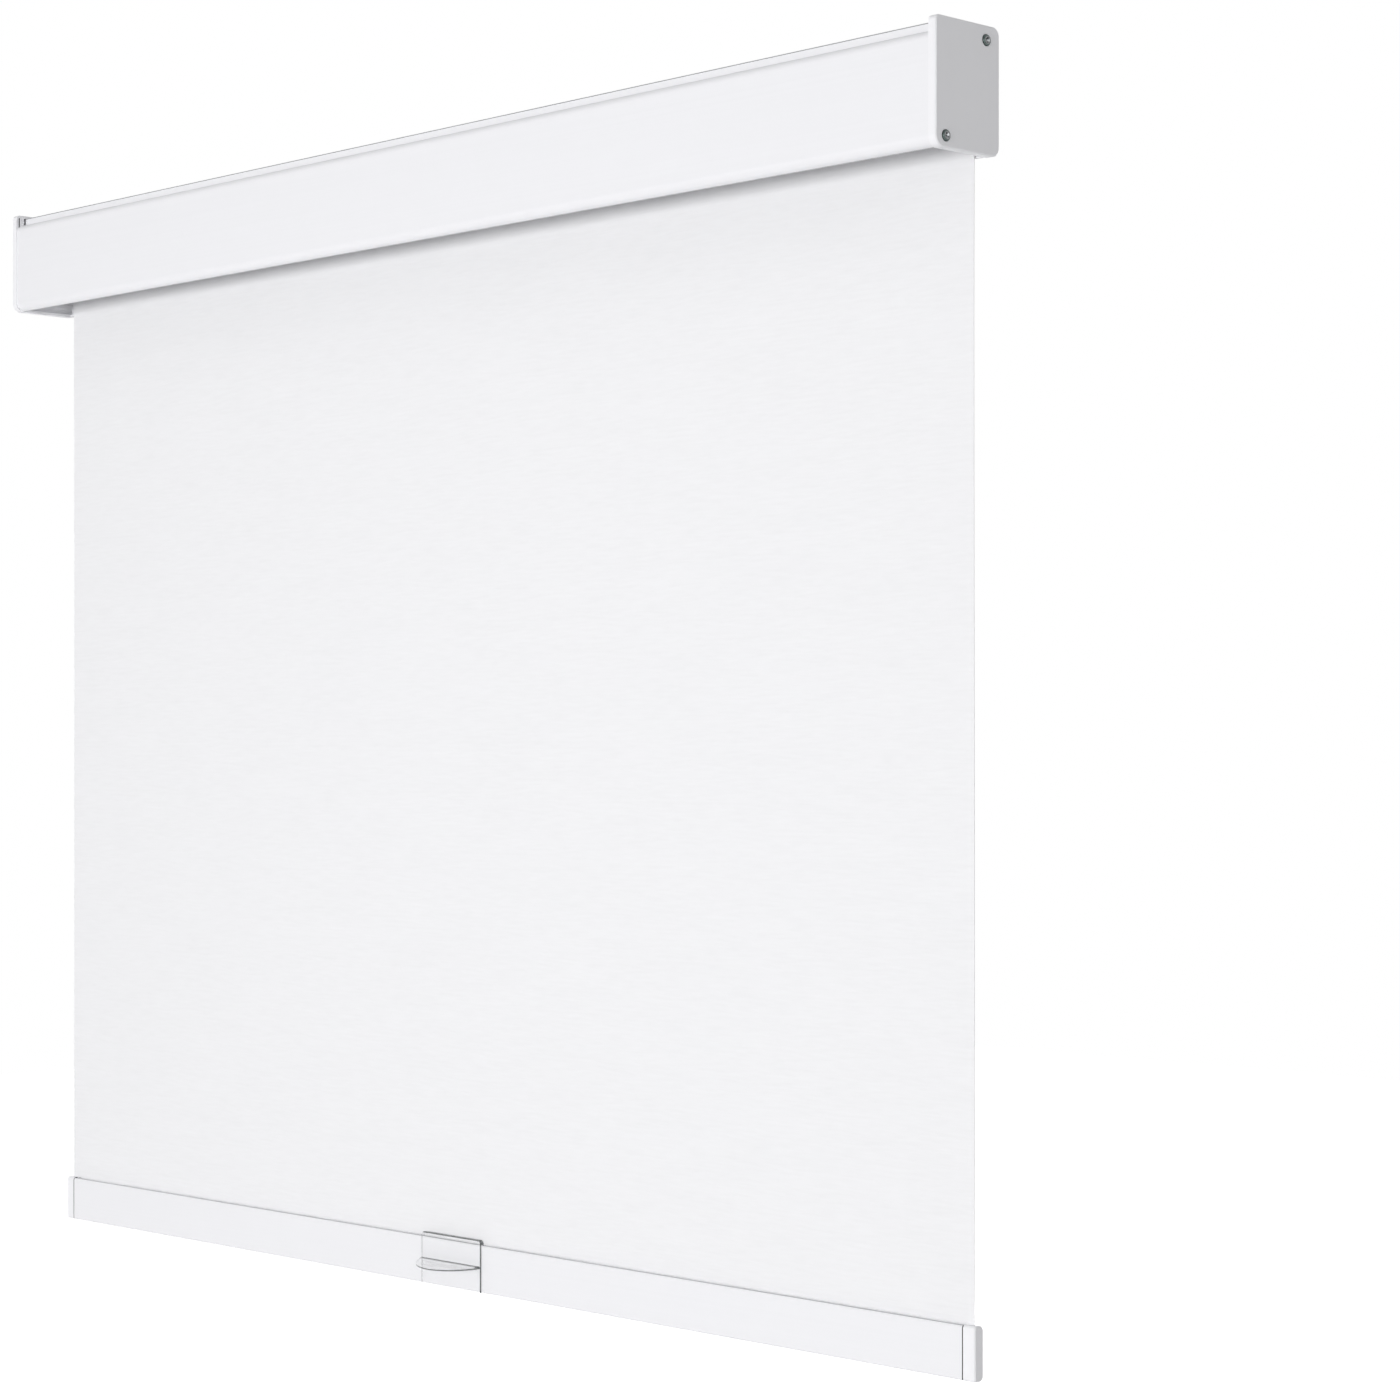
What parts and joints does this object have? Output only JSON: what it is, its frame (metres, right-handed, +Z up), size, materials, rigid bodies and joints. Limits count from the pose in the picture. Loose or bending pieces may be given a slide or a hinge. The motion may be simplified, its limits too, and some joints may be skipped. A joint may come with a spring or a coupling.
{
  "type": "blackout roller shade",
  "caption": "Cordless spring roller shade in a square aluminium cassette, with slub-textured white blackout cloth, a slim bottom rail and a clear clip-on pull handle.",
  "frame": {"origin": "middle of the four ceiling screws, on the plane of the ceiling, above the cassette", "axes": "+X along the shade to the right as seen from the front, -Y out of its front, +Z up; the rail rises along +Z"},
  "size_m": [1.0244, 0.06, 0.837],
  "materials": {
    "white_coated_aluminium": "satin powder coat",
    "white_moulding": "fine satin",
    "dark_zinc_screw": "dark zinc",
    "zinc_steel": "zinc plated",
    "spring_steel": "oiled",
    "grey_nylon": "moulded",
    "pvc_cord": "smooth",
    "blackout_cloth": "slub weave, coated back",
    "mill_aluminium": "mill",
    "clear_plastic": "clear polished"
  },
  "bodies": {
    "cassette": {"headrail": "white_coated_aluminium", "front_fascia": "white_coated_aluminium", "end_cap_left": "white_moulding", "end_cap_right": "white_moulding", "end_cap_screws": "dark_zinc_screw", "spring_bracket": "zinc_steel", "idle_bracket": "zinc_steel", "roller_bracket_screws": "dark_zinc_screw", "mount_bracket_left": "zinc_steel", "mount_bracket_right": "zinc_steel", "cam_rivets": "zinc_steel", "spring_arbor": "zinc_steel", "torsion_spring": "spring_steel", "arbor_clip": "zinc_steel", "shade_fabric": "blackout_cloth"},
    "roller": {"roller_tube": "mill_aluminium", "fabric_wraps": "blackout_cloth", "tube_spline": "pvc_cord", "drive_plug": "grey_nylon", "brake_spring": "spring_steel", "spring_plug": "grey_nylon", "idle_plug": "grey_nylon", "idle_plug_cap": "grey_nylon", "idle_spring": "spring_steel"},
    "idle_pin": {"idle_pin": "zinc_steel"},
    "bottom_rail": {"bottom_rail": "white_coated_aluminium", "rail_cap_left": "white_moulding", "rail_cap_right": "white_moulding", "rail_spline": "pvc_cord", "fabric_hem": "blackout_cloth", "pull_handle": "clear_plastic"},
    "cam_left": {"bracket_cam_left": "grey_nylon"},
    "cam_right": {"bracket_cam_right": "grey_nylon"}
  },
  "joints": [
    {"name": "rail_lift", "type": "slide", "parent": "cassette", "child": "bottom_rail", "axis": [0, 0, 1], "range_m": [0, 0.715], "deforming": ["shade_fabric"]},
    {"name": "roller_spin", "type": "hinge", "parent": "cassette", "child": "roller", "pos_m": [0, -0.0149, -0.041], "axis": [1, 0, 0], "range_deg": [0, 1961], "deforming": ["torsion_spring"]},
    {"name": "idle_pin_slide", "type": "slide", "parent": "roller", "child": "idle_pin", "axis": [1, 0, 0], "range_m": [-0.0055, 0], "stiffness_N_per_m": 500, "springref_m": 0.012, "deforming": ["idle_spring"]},
    {"name": "cam_left_turn", "type": "hinge", "parent": "cassette", "child": "cam_left", "pos_m": [-0.42, -0.0121, 0], "axis": [0, 0, 1], "range_deg": [0, 90]},
    {"name": "cam_right_turn", "type": "hinge", "parent": "cassette", "child": "cam_right", "pos_m": [0.42, -0.0121, 0], "axis": [0, 0, 1], "range_deg": [-90, 0]}
  ],
  "couplings": [
    {"joint": "roller_spin", "follows": "rail_lift", "rad_per_m": 47.86}
  ]
}
